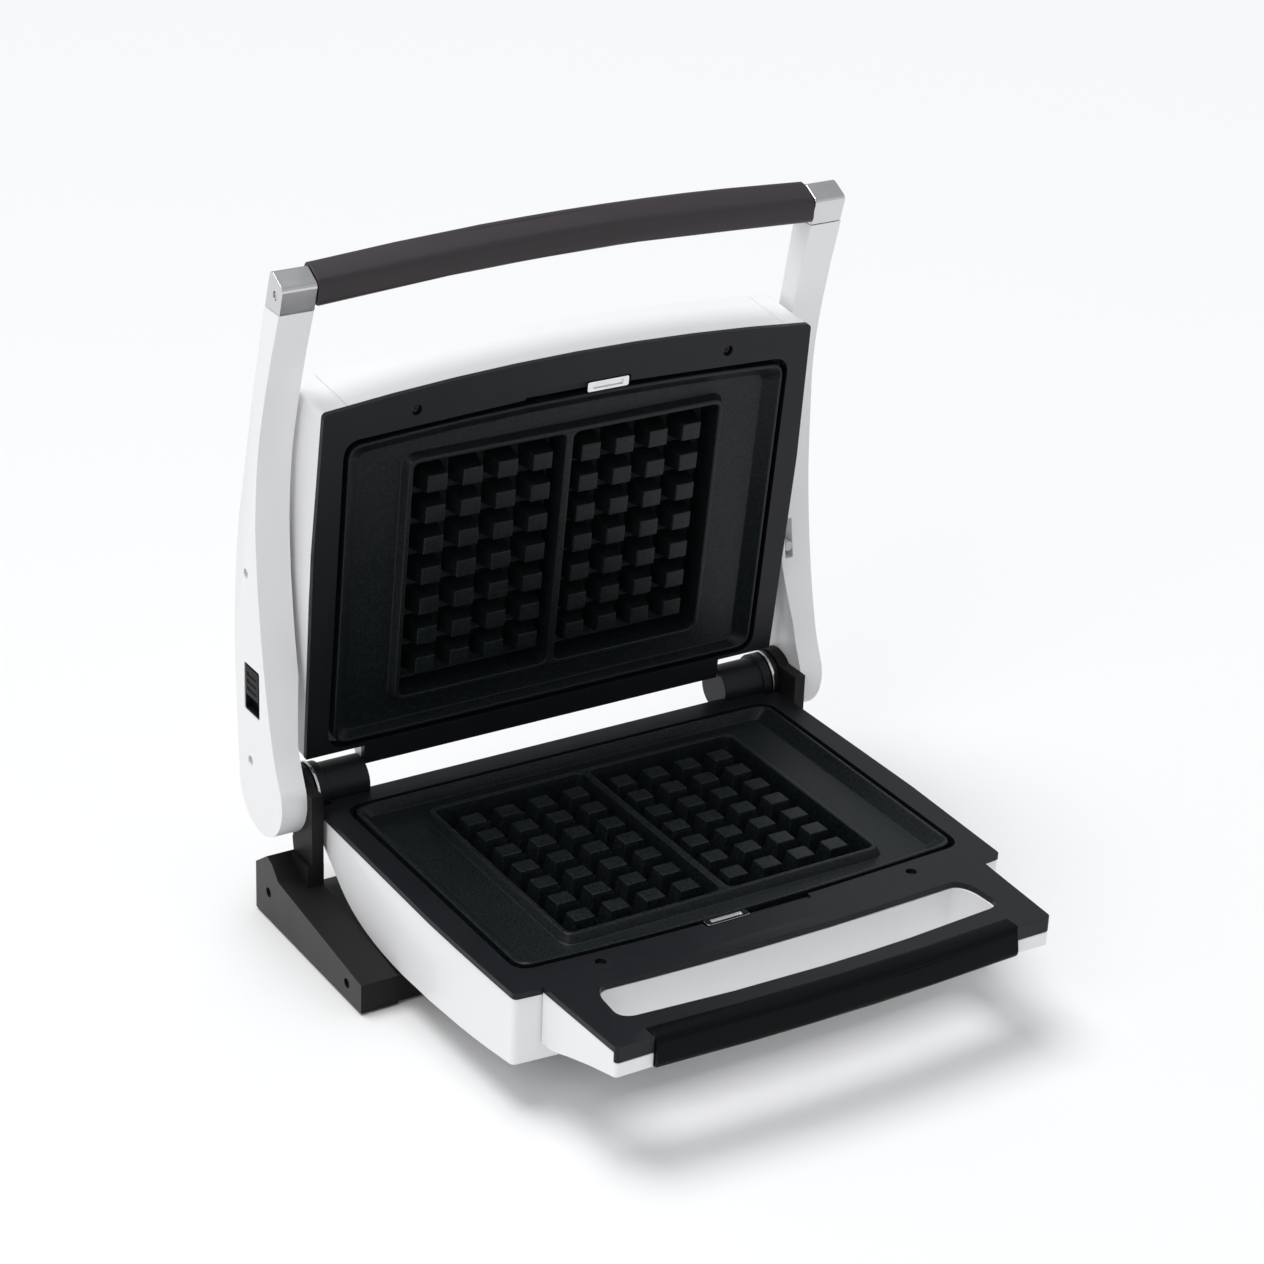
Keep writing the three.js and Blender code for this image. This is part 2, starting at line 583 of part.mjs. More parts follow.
function armCap(side) {
  const shape = new THREE.Shape();
  shape.moveTo(120.3, CAP_SEAM + GAP);
  shape.lineTo(116.4, 348);
  shape.quadraticCurveTo(116, 350.5, 118, 352);
  shape.lineTo(128, 357.4);
  shape.quadraticCurveTo(131, 358.4, 132.5, 356);
  shape.lineTo(139.4, CAP_SEAM + GAP);
  const lean = LEAN * (345 - LEAN_FROM);
  const low = side > 0 ? ARM_IN - lean : -(ARM_OUT - lean);
  const high = side > 0 ? ARM_OUT - lean : -(ARM_IN - lean);
  const face = ARM_OUT - lean;
  return sideSlab(shape, low, high, 4)
    .subtract(sideBar(side, 2.8, face - 3, face + 3, 12, CAP_SCREW_Y, CAP_SCREW_Z))
    .subtract(sideBar(side, 6.4, 170, 178, 16, TUBE_Y, TUBE_Z));
}

const capScrew = (side) => {
  const face = ARM_OUT - LEAN * (345 - LEAN_FROM);
  return sideBar(side, 2.5, face - 2.7, face - 0.8, 12, CAP_SCREW_Y, CAP_SCREW_Z);
};

const UPPER_GRIP_BOW = 6.8;
function bowedBar(shape, halfLength, steps) {
  const options = { depth: 2 * halfLength, bevelEnabled: false, curveSegments: 3, steps };
  const geometry = new THREE.ExtrudeGeometry(shape, options).translate(0, 0, -halfLength);
  geometry.applyMatrix4(new THREE.Matrix4().makeBasis(
    new THREE.Vector3(0, 1, 0), new THREE.Vector3(0, 0, 1), new THREE.Vector3(1, 0, 0)));
  const points = geometry.attributes.position;
  for (let i = 0; i < points.count; i += 1) {
    const across = points.getX(i) / HANDLE_END;
    points.setZ(i, points.getZ(i) + UPPER_GRIP_BOW * (1 - across * across));
  }
  return solid(geometry);
}

function upperGrip() {
  const shape = new THREE.Shape();
  shape.moveTo(120, 336);
  shape.quadraticCurveTo(116.4, 336, 116, 340);
  shape.lineTo(115.8, 347.5);
  shape.quadraticCurveTo(116, 351.5, 119, 353.2);
  shape.lineTo(129, 358.6);
  shape.quadraticCurveTo(134, 360.5, 136, 356);
  shape.lineTo(139.5, 345);
  shape.quadraticCurveTo(140.5, 337, 134, 336);
  const bore = new THREE.Shape().absarc(TUBE_Y, TUBE_Z, 5.4, 0, 2 * Math.PI);
  return bowedBar(shape, HANDLE_END - GAP, 12).subtract(bowedBar(bore, HANDLE_END + 5, 12));
}

const handleTube = () => {
  const section = new THREE.Shape().absarc(TUBE_Y, TUBE_Z, 5, 0, 2 * Math.PI);
  return bowedBar(section, HANDLE_END - GAP - 0.5, 12);
};

const pivotPin = (side) => sideBar(side, PIN_RADIUS, 169.5, 196, 16, PIVOT_Y, PIVOT_Z);

const releaseSlide = () => {
  const inset = SLIDER_WALL + GAP;
  const top = SLIDER_HIGH - inset;
  let body = block(-ARM_OUT, -ARM_OUT + 5, SLIDER_FRONT + inset, SLIDER_REAR - inset,
    top - SLIDER_LENGTH, top);
  for (const drop of [4, 9, 14]) {
    body = body.subtract(block(-ARM_OUT - 3, -ARM_OUT + 0.6, SLIDER_FRONT + 4, SLIDER_REAR - 4,
      top - drop - 2.4, top - drop));
  }
  return body;
};

const slideBed = () => {
  const shape = roundedRectangle(SLIDER_FRONT + GAP, SLIDER_REAR - GAP, SLIDER_LOW + GAP,
    SLIDER_HIGH - GAP, 2);
  const bed = sideSlab(shape, -ARM_OUT + 0.4, -ARM_OUT + 8.6);
  return bed.subtract(block(-ARM_OUT - 2, -ARM_OUT + 5.5, SLIDER_FRONT + SLIDER_WALL,
    SLIDER_REAR - SLIDER_WALL, SLIDER_LOW + SLIDER_WALL, SLIDER_HIGH - SLIDER_WALL));
};

const floatStop = () => bar('y', 3.6, 136, 144, 186.6, 100, 16)
  .intersect(block(184.3, 189.7, 100, 145.7, 92.3, 118.7));

// ---------- assembly ----------
const machine = new THREE.Group();
machine.position.set(0, REAR_SHIFT, BEZEL_HEIGHT);

function add(parent, name, body, material) {
  const mesh = new THREE.Mesh(surface(body), material);
  mesh.name = name;
  parent.add(mesh);
  return mesh;
}

// The lid is the lower half mirrored across the gap and turned open about the hinge.
const lid = new THREE.Group();
lid.position.set(0, HINGE_Y, HINGE_Z);
lid.rotation.x = -OPEN_ANGLE;
machine.add(lid);

const toLid = (body) => body.mirror([0, 0, 1]).translate([0, -HINGE_Y, LID_GAP - HINGE_Z]);
const sides = [[-1, 'left'], [1, 'right']];

add(machine, 'lower_housing', lowerHousing(), whiteGloss);
add(machine, 'lower_bezel', lowerBezel(), bezelBlack);
add(machine, 'lower_waffle_plate', wafflePlate(), plateCoating);
add(machine, 'lower_plate_catch', catchSlide(-1), chrome);
add(machine, 'lower_heating_element', heatingElement(), steel);
add(machine, 'lower_heat_shield', heatShield(), aluminium);
add(machine, 'cord_gland', cordGland(), rubber);
add(machine, 'front_handle_shell', handleShell(), whiteGloss);
add(machine, 'front_handle_plate', handleTopPlate(), bezelBlack);
add(machine, 'front_grip', frontGrip(), gripBlack);
add(machine, 'stand_crossbar', standCrossbar(), standAnthracite);
add(machine, 'thermostat', thermostat(), paleMoulding);
add(machine, 'terminal_block', terminalBlock(), paleMoulding);

for (const [side, word] of sides) {
  add(machine, `${word}_stand_foot`, standFoot(side), standAnthracite);
  add(machine, `${word}_foot_screw_front`, footScrew(side, 24, -68), steel);
  add(machine, `${word}_foot_screw_rear`, footScrew(side, 132, -60), steel);
  add(machine, `${word}_foot_pad_front`, rearPad(side, 24), rubber);
  add(machine, `${word}_foot_pad_rear`, rearPad(side, 132), rubber);
  add(machine, `${word}_front_leg`, frontLeg(side), standAnthracite);
  add(machine, `${word}_hinge_barrel`, hingeBarrel(side), bezelBlack);
  add(machine, `${word}_hinge_washer`, hingeWasher(side, 171.5, 173.3, 18.5), chrome);
  add(machine, `${word}_hinge_disc`, hingeWasher(side, 173.6, 177.6, 17.5), gripBlack);
  add(machine, `${word}_hinge_shaft`, hingeShaft(side), steel);
  add(machine, `${word}_arm`, arm(side), whiteGloss);
  add(machine, `${word}_arm_cap`, armCap(side), capMetal);
  add(machine, `${word}_cap_screw`, capScrew(side), steel);
  add(machine, `${word}_pivot_pin`, pivotPin(side), chrome);
  add(machine, `${word}_arm_screw_upper`, armScrew(side, ...ARM_SCREWS[0]), steel);
  add(machine, `${word}_arm_screw_lower`, armScrew(side, ...ARM_SCREWS[1]), steel);
}

add(machine, 'upper_grip', upperGrip(), gripCharcoal);
add(machine, 'upper_handle_tube', handleTube(), steel);
add(machine, 'release_slide', releaseSlide(), gripBlack);
add(machine, 'release_slide_bed', slideBed(), gripBlack);
add(machine, 'float_stop', floatStop(), paleMoulding);

// ---------- lid ----------
const TRIM_SEAM = 157;
const CORNER_CUT_X = 134;
const CORNER_CUT_Y = 115.5;
const cornerCuts = (grow = 0) => {
  const x = CORNER_CUT_X - grow;
  const y = CORNER_CUT_Y - grow;
  return block(x, 190, y, 160, -60, 10).add(block(-190, -x, y, 160, -60, 10));
};
const pinHoles = () => {
  const open = new THREE.Vector3(0, PIVOT_Y - HINGE_Y, PIVOT_Z - HINGE_Z)
    .applyAxisAngle(new THREE.Vector3(1, 0, 0), OPEN_ANGLE);
  const y = open.y + HINGE_Y;
  const z = LID_GAP - (open.z + HINGE_Z);
  return bar('x', 5.1, -190, 190, y, z);
};
const lidShell = () => housing(-BEZEL_THICK - GAP, WALL, cornerCuts(WALL))
  .subtract(cornerCuts())
  .subtract(slab(skirtOutline(GAP), SKIRT_LOW - GAP, 0))
  .subtract(pinHoles());
const middle = (half) => block(-half, half, -160, 160, -80, 10);

add(lid, 'upper_housing', toLid(lidShell().intersect(middle(TRIM_SEAM))), whiteGloss);
add(lid, 'upper_bezel', toLid(bezel().subtract(cornerCuts())), bezelBlack);
add(lid, 'upper_waffle_plate', toLid(wafflePlate()), plateCoating);
add(lid, 'upper_plate_catch', toLid(catchSlide(1)), chrome);
add(lid, 'upper_heating_element', toLid(heatingElement()), steel);
add(lid, 'upper_heat_shield', toLid(heatShield()), aluminium);
for (const [side, word] of sides) {
  const reach = side > 0 ? block(TRIM_SEAM + GAP, 190, -160, 160, -80, 10)
    : block(-190, -TRIM_SEAM - GAP, -160, 160, -80, 10);
  add(lid, `${word}_lid_trim`, toLid(lidShell().intersect(reach)), whiteGloss);
}

const part = new THREE.Group();
part.add(machine);

export default part;
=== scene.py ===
import bpy
import json
import math
from mathutils import Matrix, Vector

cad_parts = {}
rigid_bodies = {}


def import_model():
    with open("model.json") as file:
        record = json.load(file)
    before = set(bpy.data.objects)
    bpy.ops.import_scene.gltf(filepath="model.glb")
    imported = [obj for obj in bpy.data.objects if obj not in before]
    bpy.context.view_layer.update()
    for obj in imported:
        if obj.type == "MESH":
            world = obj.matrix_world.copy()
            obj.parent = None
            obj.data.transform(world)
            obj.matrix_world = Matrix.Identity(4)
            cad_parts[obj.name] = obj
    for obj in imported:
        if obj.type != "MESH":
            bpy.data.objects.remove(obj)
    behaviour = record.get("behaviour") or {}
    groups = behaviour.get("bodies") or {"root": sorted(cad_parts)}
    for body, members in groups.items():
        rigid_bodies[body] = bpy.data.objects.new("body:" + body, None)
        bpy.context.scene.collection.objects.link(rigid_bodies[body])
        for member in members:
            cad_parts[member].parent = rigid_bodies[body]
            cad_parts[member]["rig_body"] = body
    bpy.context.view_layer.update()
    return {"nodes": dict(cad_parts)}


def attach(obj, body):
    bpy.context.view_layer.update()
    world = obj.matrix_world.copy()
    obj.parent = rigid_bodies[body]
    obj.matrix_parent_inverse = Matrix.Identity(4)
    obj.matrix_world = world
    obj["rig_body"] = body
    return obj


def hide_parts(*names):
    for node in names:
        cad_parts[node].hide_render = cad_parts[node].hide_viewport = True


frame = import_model()

# ---------- view of the object ----------
# A long lens from the front left and above, tilted a little as a hand-held camera is.
CAMERA_SPOT = (-1.010, -1.5169, 1.113)
SENSOR_WIDTH_MM = 36
FOCAL_LENGTH_MM = 95.38
NEAREST_SEEN = 0.05
FARTHEST_SEEN = 50

bpy.ops.object.select_all(action="DESELECT")
bpy.ops.object.camera_add(location=CAMERA_SPOT)
camera = bpy.context.object
eye_right = Vector((0.8505, -0.5245, 0.0400))
eye_back = Vector((-0.4865, -0.7555, 0.4387)).normalized()
eye_up = eye_back.cross(eye_right).normalized()
eye_right = eye_up.cross(eye_back)
camera.rotation_euler = Matrix((eye_right, eye_up, eye_back)).transposed().to_euler()
camera.data.sensor_width = SENSOR_WIDTH_MM
camera.data.lens = FOCAL_LENGTH_MM
camera.data.clip_start = NEAREST_SEEN
camera.data.clip_end = FARTHEST_SEEN
bpy.context.scene.camera = camera

# ---------- lower housing ----------
# The deep shell under the lower plate, injection moulded in glossy white plastic with a
# polished tool, so that it has only a faint waviness and small rounded edges.
WHITE = (0.875, 0.875, 0.88)
HOUSING_EDGE = 0.0008
MIX_A, MIX_B, MIX_RESULT = 6, 7, 2          # the colour sockets of a Mix node
HAZE_SCALE = 40                             # slow changes of gloss across a surface
EDGE_LIGHT_FROM, EDGE_LIGHT_TO = 0.56, 0.75             # how pointed an edge must be for its painted lightening, wear and highlight, to start and be full
SAME_POINT = 0.00001
COPLANAR = math.radians(1.5)                # facets that lie this close are one face
NEARLY_FLAT = math.radians(1)
SMOOTH_BELOW = math.radians(38)


def texture_noise(nodes, links, coords, scale, detail=3.0):
    noise = nodes.new("ShaderNodeTexNoise")
    noise.inputs["Scale"].default_value = scale
    noise.inputs["Detail"].default_value = detail
    links.new(coords, noise.inputs["Vector"])
    return noise.outputs["Fac"]


def spread(nodes, links, value, low, high, from_low=0.3, from_high=0.7):
    ranged = nodes.new("ShaderNodeMapRange")
    ranged.inputs["From Min"].default_value = from_low
    ranged.inputs["From Max"].default_value = from_high
    ranged.inputs["To Min"].default_value = low
    ranged.inputs["To Max"].default_value = high
    links.new(value, ranged.inputs["Value"])
    return ranged.outputs["Result"]


def moulded_plastic(name, colour, roughness, grain_scale, grain_depth, coat=0.0, edge_wear_and_highlight=0.0,
                    mottling=0.03, hazing=0.08, gloss=0.5, mottle_scale=16):
    """Plastic with a faint mottling, a hazy gloss, a fine grain and pointed edges that may be
    painted lighter, for wear and as a painted highlight.
    """
    material = bpy.data.materials.new(name)
    material.use_nodes = True
    nodes, links = material.node_tree.nodes, material.node_tree.links
    shader = nodes["Principled BSDF"]
    coords = nodes.new("ShaderNodeTexCoord").outputs["Object"]
    mottle = nodes.new("ShaderNodeMix")
    mottle.data_type = "RGBA"
    mottle.inputs[MIX_A].default_value = (*[c * (1 - mottling) for c in colour], 1)
    mottle.inputs[MIX_B].default_value = (*[min(c * (1 + mottling), 1) for c in colour], 1)
    cloud = texture_noise(nodes, links, coords, mottle_scale)
    links.new(spread(nodes, links, cloud, 0, 1), mottle.inputs[0])
    tint = mottle.outputs[MIX_RESULT]
    # Pointed edges are painted lighter: wear, and on the plates a painted highlight on rims and
    # block corners.
    if edge_wear_and_highlight:
        shape = nodes.new("ShaderNodeNewGeometry")
        lightened_edge = nodes.new("ShaderNodeMix")
        lightened_edge.data_type = "RGBA"
        edge = spread(nodes, links, shape.outputs["Pointiness"], 0, 1, EDGE_LIGHT_FROM, EDGE_LIGHT_TO)
        links.new(edge, lightened_edge.inputs[0])
        links.new(tint, lightened_edge.inputs[MIX_A])
        lightened_edge.inputs[MIX_B].default_value = (*[min(c + edge_wear_and_highlight, 1) for c in colour], 1)
        tint = lightened_edge.outputs[MIX_RESULT]
    links.new(tint, shader.inputs["Base Color"])
    haze = texture_noise(nodes, links, coords, HAZE_SCALE, 6)
    gloss_change = spread(nodes, links, haze, roughness * (1 - hazing), roughness * (1 + hazing))
    links.new(gloss_change, shader.inputs["Roughness"])
    bump = nodes.new("ShaderNodeBump")
    bump.inputs["Strength"].default_value = 0.6
    bump.inputs["Distance"].default_value = grain_depth
    links.new(texture_noise(nodes, links, coords, grain_scale, 4), bump.inputs["Height"])
    links.new(bump.outputs["Normal"], shader.inputs["Normal"])
    shader.inputs["Specular IOR Level"].default_value = gloss
    shader.inputs["Coat Weight"].default_value = coat
    shader.inputs["Coat Roughness"].default_value = 0.08
    return material


def finished(node, material, edge, segments=2, sharp=32, flatten=True, clamp=True):
    """A copy of a CAD piece with its edges rounded, which then stands for it.

    Facets of one flat face are joined first; a face with many islands in it is only given
    better triangles instead. Edges sharper than sharp degrees are rounded by edge metres.
    """
    source = frame["nodes"][node]
    piece = bpy.data.objects.new("finished_" + node, source.data.copy())
    bpy.context.collection.objects.link(piece)
    bpy.ops.object.select_all(action="DESELECT")
    piece.select_set(True)
    bpy.context.view_layer.objects.active = piece
    bpy.ops.object.mode_set(mode="EDIT")
    bpy.ops.mesh.select_all(action="SELECT")
    bpy.ops.mesh.remove_doubles(threshold=SAME_POINT)
    if flatten:
        bpy.ops.mesh.dissolve_limited(angle_limit=COPLANAR)
    else:
        bpy.ops.mesh.beautify_fill(angle_limit=NEARLY_FLAT)
    bpy.ops.object.mode_set(mode="OBJECT")
    if edge:
        bevel = piece.modifiers.new("rounded edges", "BEVEL")
        bevel.width = edge
        bevel.segments = segments
        bevel.limit_method = "ANGLE"
        bevel.angle_limit = math.radians(sharp)
        bevel.miter_outer = "MITER_ARC"
        bevel.use_clamp_overlap = clamp
        bpy.ops.object.modifier_apply(modifier=bevel.name)
    bpy.ops.object.shade_smooth_by_angle(angle=SMOOTH_BELOW)
    flats = piece.modifiers.new("flat faces", "WEIGHTED_NORMAL")
    flats.keep_sharp = True
    bpy.ops.object.modifier_apply(modifier=flats.name)
    piece.data.materials.clear()
    piece.data.materials.append(material)
    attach(piece, source["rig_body"])
    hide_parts(node)
    return piece


white_moulding = moulded_plastic("white_moulding", WHITE, roughness=0.30, grain_scale=90,
                                 grain_depth=0.000004, coat=0.3, mottling=0.004, hazing=0.03)
finished("lower_housing", white_moulding, HOUSING_EDGE, 3)

# ---------- bezels ----------
# The black frames round both plates, moulded in heat resistant plastic with a fine matt
# grain, with a rounded lip that falls to the plate and two countersunk screws each.
BEZEL_EDGE = 0.0009
black_moulding = moulded_plastic("black_moulding", (0.0065, 0.0073, 0.0095), roughness=0.42,
                                 grain_scale=1500, grain_depth=0.00003, edge_wear_and_highlight=0.012, gloss=0.26)
for node in ("lower_bezel", "upper_bezel"):
    finished(node, black_moulding, BEZEL_EDGE, 3)

# The bezel screws: black oxide heads with a cross recess, sunk in their holes. Those of the
# lid are the lower ones mirrored to the closed lid, and then opened with it.
HINGE = Vector((0, 0.15558, 0.0845))
OPENED = math.radians(-84.3)
BEZEL_TOP = 0.081
LID_GAP = 0.0011
BEZEL_SCREW = Vector((0.112, -0.10442, 0.0786))
SCREW_RADIUS = 0.0031
SCREW_HEIGHT = 0.0024
CROSS_TURN = 0.4
open_lid = (Matrix.Translation(HINGE) @ Matrix.Rotation(OPENED, 4, "X") @ Matrix.Translation(-HINGE)
            @ Matrix.Translation((0, 0, 2 * BEZEL_TOP + LID_GAP)) @ Matrix.Diagonal((1, 1, -1, 1)))


def cross_head(name, spot, radius, height):
    """A round head, bevelled, with a sunk cross, its top at the spot."""
    bpy.ops.object.select_all(action="DESELECT")
    bpy.ops.mesh.primitive_cylinder_add(vertices=48, radius=radius, depth=height,
                                        location=spot - Vector((0, 0, height / 2)))
    head = bpy.context.object
    head.name = name
    bpy.ops.object.transform_apply(location=True, rotation=True, scale=True)
    for turn in (0, math.pi / 2):
        bpy.ops.object.select_all(action="DESELECT")
        bpy.ops.mesh.primitive_cube_add(size=1, location=spot, rotation=(0, 0, turn + CROSS_TURN))
        slot_tool = bpy.context.object
        slot_tool.scale = (radius * 1.2, radius * 0.26, height * 0.9)
        bpy.ops.object.select_all(action="DESELECT")
        head.select_set(True)
        bpy.context.view_layer.objects.active = head
        cut = head.modifiers.new("cross", "BOOLEAN")
        cut.object = slot_tool
        cut.operation = "DIFFERENCE"
        bpy.ops.object.modifier_apply(modifier=cut.name)
        bpy.data.objects.remove(slot_tool)
    bevel = head.modifiers.new("edge", "BEVEL")
    bevel.width = radius * 0.07
    bevel.segments = 2
    bpy.ops.object.modifier_apply(modifier=bevel.name)
    bpy.ops.object.shade_smooth_by_angle(angle=math.radians(35))
    return head


bezel_screws = []
for side, word in ((-1, "left"), (1, "right")):
    spot = Vector((side * BEZEL_SCREW.x, BEZEL_SCREW.y, BEZEL_SCREW.z))
    lower_screw = cross_head(word + "_lower_bezel_screw", spot, SCREW_RADIUS, SCREW_HEIGHT)
    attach(lower_screw, "base")
    upper_screw = cross_head(word + "_upper_bezel_screw", spot, SCREW_RADIUS, SCREW_HEIGHT)
    upper_screw.data.transform(open_lid)
    upper_screw.data.flip_normals()
    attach(upper_screw, "lid")
    bezel_screws += [lower_screw, upper_screw]

# ---------- waffle plates ----------
# Die-cast aluminium, coated with a dark non-stick layer. The corners of the blocks and the
# rims are painted lighter, a painted highlight of the light along them.
PLATE_EDGE = 0.0006
# The lightened edges of this coating are a painted highlight on the block corners and rims.
plate_coating = moulded_plastic("plate_coating", (0.0055, 0.0085, 0.0095), roughness=0.40,
                                grain_scale=700, grain_depth=0.00022, edge_wear_and_highlight=0.08,
                                mottling=0.75, mottle_scale=620, gloss=0.24)
for node in ("lower_waffle_plate", "upper_waffle_plate"):
    finished(node, plate_coating, PLATE_EDGE, 2, sharp=40,
             flatten=False, clamp=False)

# ---------- plate catches and other bright metal ----------
# Bright plated steel: the two catch slides, the pins and the washers of the hinge. The
# plating is smooth, with fine wiping marks that change its gloss and shade a little.
FINE_EDGE = 0.0003
DARKEST_MARK = 0.88


def bright_metal(name, colour, roughness, along=(60, 900, 60), scratch=0.00001):
    """Bare or plated metal with marks that are drawn out where the scales differ."""
    material = bpy.data.materials.new(name)
    material.use_nodes = True
    nodes, links = material.node_tree.nodes, material.node_tree.links
    shader = nodes["Principled BSDF"]
    coords = nodes.new("ShaderNodeTexCoord").outputs["Object"]
    stretch = nodes.new("ShaderNodeMapping")
    stretch.inputs["Scale"].default_value = along
    links.new(coords, stretch.inputs["Vector"])
    marks = texture_noise(nodes, links, stretch.outputs["Vector"], 3, 5)
    shade = nodes.new("ShaderNodeMix")
    shade.data_type = "RGBA"
    shade.inputs[MIX_A].default_value = (*[c * DARKEST_MARK for c in colour], 1)
    shade.inputs[MIX_B].default_value = (*colour, 1)
    links.new(spread(nodes, links, marks, 0, 1), shade.inputs[0])
    links.new(shade.outputs[MIX_RESULT], shader.inputs["Base Color"])
    gloss_change = spread(nodes, links, marks, roughness * 0.7, roughness * 1.4)
    links.new(gloss_change, shader.inputs["Roughness"])
    bump = nodes.new("ShaderNodeBump")
    bump.inputs["Strength"].default_value = 0.4
    bump.inputs["Distance"].default_value = scratch
    links.new(marks, bump.inputs["Height"])
    links.new(bump.outputs["Normal"], shader.inputs["Normal"])
    shader.inputs["Metallic"].default_value = 1
    return material


chrome = bright_metal("chrome", (0.80, 0.80, 0.81), roughness=0.10)
for node in ("lower_plate_catch", "upper_plate_catch"):
    finished(node, chrome, FINE_EDGE, 2)
for side in ("left", "right"):
    for node in (side + "_hinge_washer", side + "_pivot_pin"):
        finished(node, chrome, FINE_EDGE, 2)

# ---------- hinge barrels and discs ----------
# Each barrel is a black moulding that stands in a corner of the lower half; a dark
# friction disc turns between it and the stand.
HINGE_EDGE = 0.0006
for side in ("left", "right"):
    finished(side + "_hinge_barrel", black_moulding, HINGE_EDGE, 3)
    finished(side + "_hinge_disc", black_moulding, HINGE_EDGE, 2)

# ---------- stand ----------
# Two wedge-shaped black feet joined by a low crossbar, with a satin grain, on rubber pads; the
# outer side of each foot is painted lighter as painted sheen; two turned legs stand under the front
# of the housing.
FOOT_SHEEN_SIDE_X = 0.2032                       # beyond this a face is on the outer side, painted lighter as painted sheen
FOOT_EDGE = 0.0010
LEG_EDGE = 0.0005
SMALL_EDGE = 0.0004
stand_plastic = moulded_plastic("stand_plastic", (0.030, 0.0275, 0.029), roughness=0.45,
                                grain_scale=1300, grain_depth=0.00003, edge_wear_and_highlight=0.02, gloss=0.3)
foot_black = moulded_plastic("foot_black", (0.010, 0.0095, 0.0105), roughness=0.48,
                             grain_scale=1300, grain_depth=0.00003, edge_wear_and_highlight=0.01, gloss=0.14)
finished("stand_crossbar", foot_black, HOUSING_EDGE, 3)
for side in ("left", "right"):
    foot = finished(side + "_stand_foot", foot_black, FOOT_EDGE, 3)
    # The outer faces take the lighter plastic: a painted sheen on the outer side of the foot.
    foot.data.materials.append(stand_plastic)
    for face in foot.data.polygons:
        if abs(face.center.x) > FOOT_SHEEN_SIDE_X:
            face.material_index = 1
    finished(side + "_front_leg", stand_plastic, LEG_EDGE, 2)
rubber = moulded_plastic("rubber", (0.012, 0.012, 0.012), roughness=0.75, grain_scale=1200,
                         grain_depth=0.00006)
for side in ("left", "right"):
    for place in ("front", "rear"):
        finished(f"{side}_foot_pad_{place}", rubber, FINE_EDGE, 2)
finished("cord_gland", rubber, SMALL_EDGE, 2)

# ---------- front handle ----------
# A white shell, a black plate clipped into its top and turned down over the front
# corners, and a separate bowed black grip, smoother than the plate, between the corners.
GRIP_EDGE = 0.0007
finished("front_handle_shell", white_moulding, BEZEL_EDGE, 3)
finished("front_handle_plate", black_moulding, HOUSING_EDGE, 3)
front_grip_plastic = moulded_plastic("front_grip_plastic", (0.0028, 0.0034, 0.004),
                                     roughness=0.28, grain_scale=1500, grain_depth=0.00002,
                                     edge_wear_and_highlight=0.010, gloss=0.07)
finished("front_grip", front_grip_plastic, GRIP_EDGE, 3)

# ---------- arms ----------
# Two curved white mouldings with well rounded edges, which carry the lid, and a finely
# ribbed release slide in the left one.
ARM_EDGE = 0.0022
for side in ("left", "right"):
    finished(side + "_arm", white_moulding, ARM_EDGE, 4, sharp=40)
finished("release_slide", front_grip_plastic, SMALL_EDGE, 2)
finished("release_slide_bed", black_moulding, FINE_EDGE, 2)

# ---------- screws and shafts ----------
# Zinc plated steel, slightly dull, with a turned finish; the bezel screws are blackened.
# The grip's tube and the heating elements are bent steel tube.
SCREW_EDGE = 0.0002
steel = bright_metal("steel", (0.58, 0.58, 0.59), roughness=0.30)
for side in ("left", "right"):
    for node in ("_arm_screw_upper", "_arm_screw_lower", "_cap_screw", "_foot_screw_front",
                 "_foot_screw_rear", "_hinge_shaft"):
        finished(side + node, steel, SCREW_EDGE, 2)
black_oxide = bright_metal("black_oxide", (0.05, 0.05, 0.055), roughness=0.35)
for screw in bezel_screws:
    screw.data.materials.append(black_oxide)
for node in ("upper_handle_tube", "lower_heating_element", "upper_heating_element"):
    finished(node, steel, 0)

# ---------- upper grip and its caps ----------
# The grip is a charcoal moulding with a soft satin skin, bowed up in the middle; the
# caps over the arm ends are silver plated castings, cast smooth.
upper_grip_plastic = moulded_plastic("upper_grip_plastic", (0.033, 0.027, 0.031),
                                     roughness=0.42, grain_scale=1500, grain_depth=0.00003,
                                     gloss=0.3)
finished("upper_grip", upper_grip_plastic, FOOT_EDGE, 3)
cap_metal = bright_metal("cap_metal", (0.66, 0.66, 0.67), roughness=0.2, along=(8, 8, 8),
                         scratch=0.000002)
for side in ("left", "right"):
    finished(side + "_arm_cap", cap_metal, ARM_EDGE, 4)

# ---------- lid ----------
# The upper half's shell: a wide middle moulding and two narrow side trims, glossy white.
for node in ("upper_housing", "left_lid_trim", "right_lid_trim"):
    finished(node, white_moulding, HOUSING_EDGE, 3)

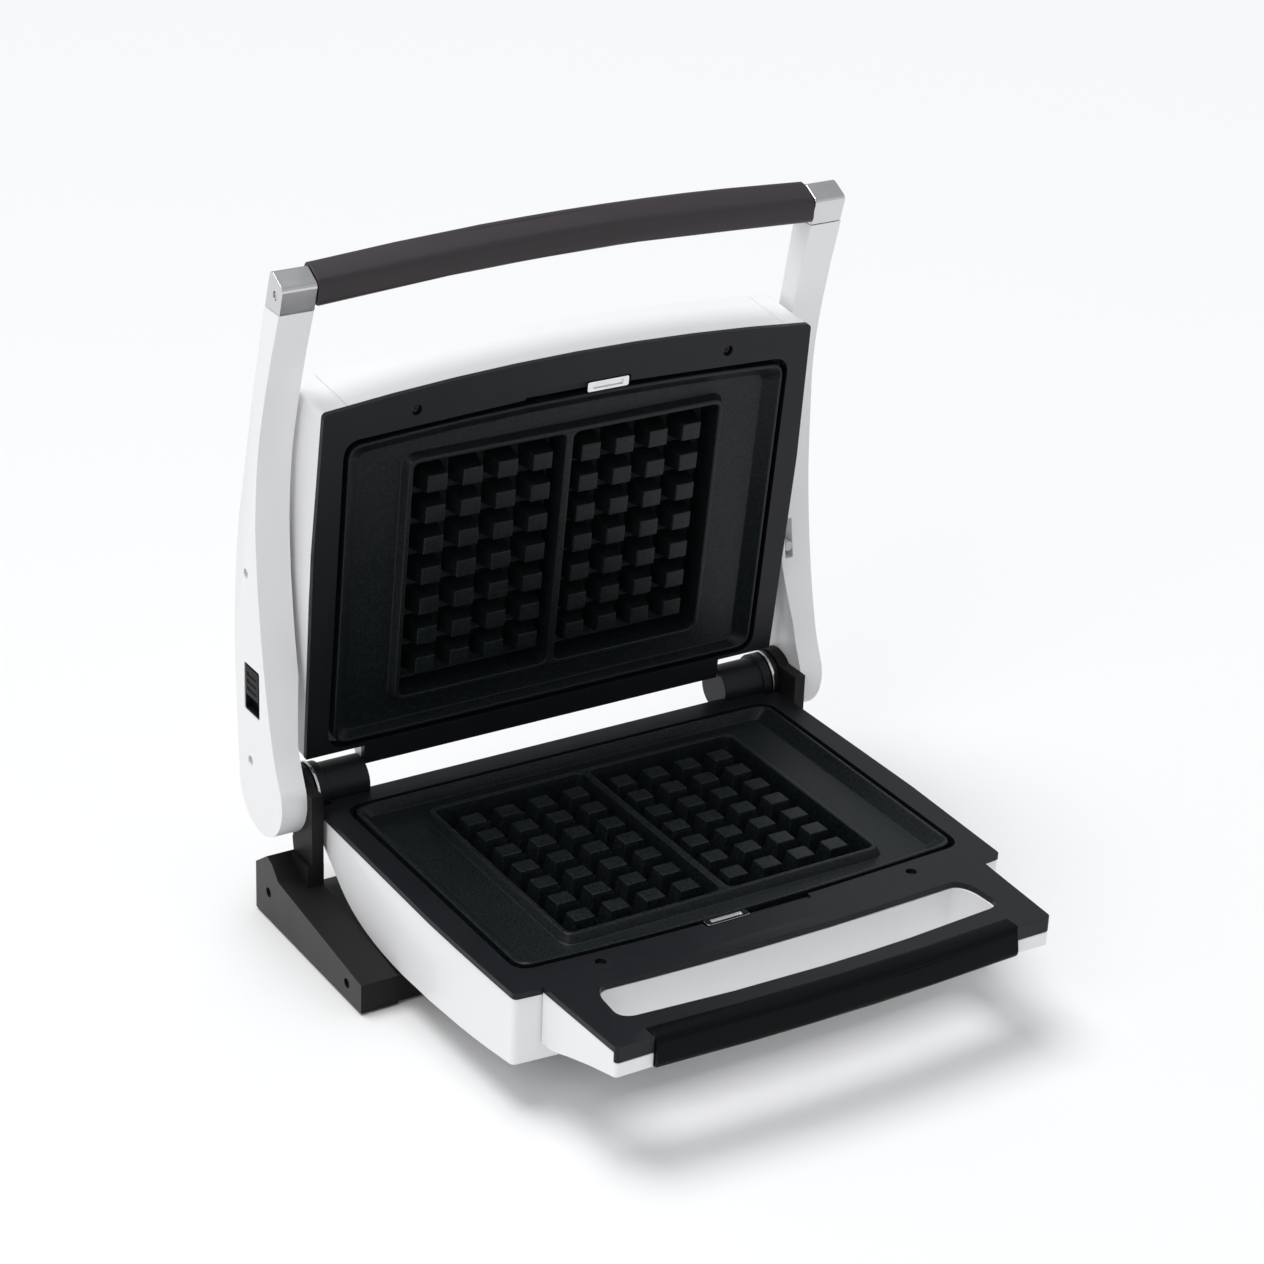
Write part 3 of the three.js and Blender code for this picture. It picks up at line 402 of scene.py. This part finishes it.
# ---------- parts inside ----------
# Pressed aluminium heat shields under and over the plates, and pale heat resistant
# mouldings: the thermostat, the terminal block and the stop on the right arm.
sheet_aluminium = bright_metal("sheet_aluminium", (0.70, 0.71, 0.72), roughness=0.34)
for node in ("lower_heat_shield", "upper_heat_shield"):
    finished(node, sheet_aluminium, FINE_EDGE, 2)
pale_moulding = moulded_plastic("pale_moulding", (0.60, 0.60, 0.60), roughness=0.45,
                                grain_scale=1500, grain_depth=0.00003)
for node in ("thermostat", "terminal_block", "float_stop"):
    finished(node, pale_moulding, SMALL_EDGE, 2)

# ---------- floor and light ----------
# A plain white table under wide soft light from above, with a small lamp on the left and
# a weak one on the right.
FLOOR_WIDTH = 120
FLOOR_WHITE = (0.775, 0.775, 0.778, 1)
SKY_WHITE = (0.97, 0.985, 1, 1)
SKY_STRENGTH = 0.5
LAMPS = (("key", (-1.7, -0.7, 1.6), 1.2, 8), ("fill", (1.5, -1.6, 1.1), 1.6, 1.5))
LAMPS_AIM = Vector((0, 0, 0.2))
OVERHEAD_TURN = (-0.22, -0.16, 0)
OVERHEAD_STRENGTH = 2.3
OVERHEAD_SPREAD = math.radians(38)

bpy.ops.object.select_all(action="DESELECT")
bpy.ops.mesh.primitive_plane_add(size=FLOOR_WIDTH, location=(0, 0, 0))
floor = bpy.context.object
floor.name = "floor"
floor_paint = bpy.data.materials.new("floor_paint")
floor_paint.use_nodes = True
floor_shader = floor_paint.node_tree.nodes["Principled BSDF"]
floor_shader.inputs["Base Color"].default_value = FLOOR_WHITE
floor_shader.inputs["Roughness"].default_value = 0.9
floor_shader.inputs["Specular IOR Level"].default_value = 0
floor.data.materials.append(floor_paint)

world = bpy.data.worlds.new("studio")
world.use_nodes = True
sky = world.node_tree.nodes["Background"]
sky.inputs["Color"].default_value = SKY_WHITE
sky.inputs["Strength"].default_value = SKY_STRENGTH
bpy.context.scene.world = world
bpy.context.scene.view_settings.view_transform = "Standard"

for name, spot, size, power in LAMPS:
    bpy.ops.object.light_add(type="AREA", location=spot)
    lamp = bpy.context.object
    lamp.name = name
    lamp.data.size = size
    lamp.data.energy = power
    lamp.rotation_euler = (LAMPS_AIM - Vector(spot)).to_track_quat("-Z", "Y").to_euler()

bpy.ops.object.light_add(type="SUN", location=(0, 0, 3), rotation=OVERHEAD_TURN)
overhead = bpy.context.object
overhead.name = "overhead"
overhead.data.energy = OVERHEAD_STRENGTH
overhead.data.angle = OVERHEAD_SPREAD
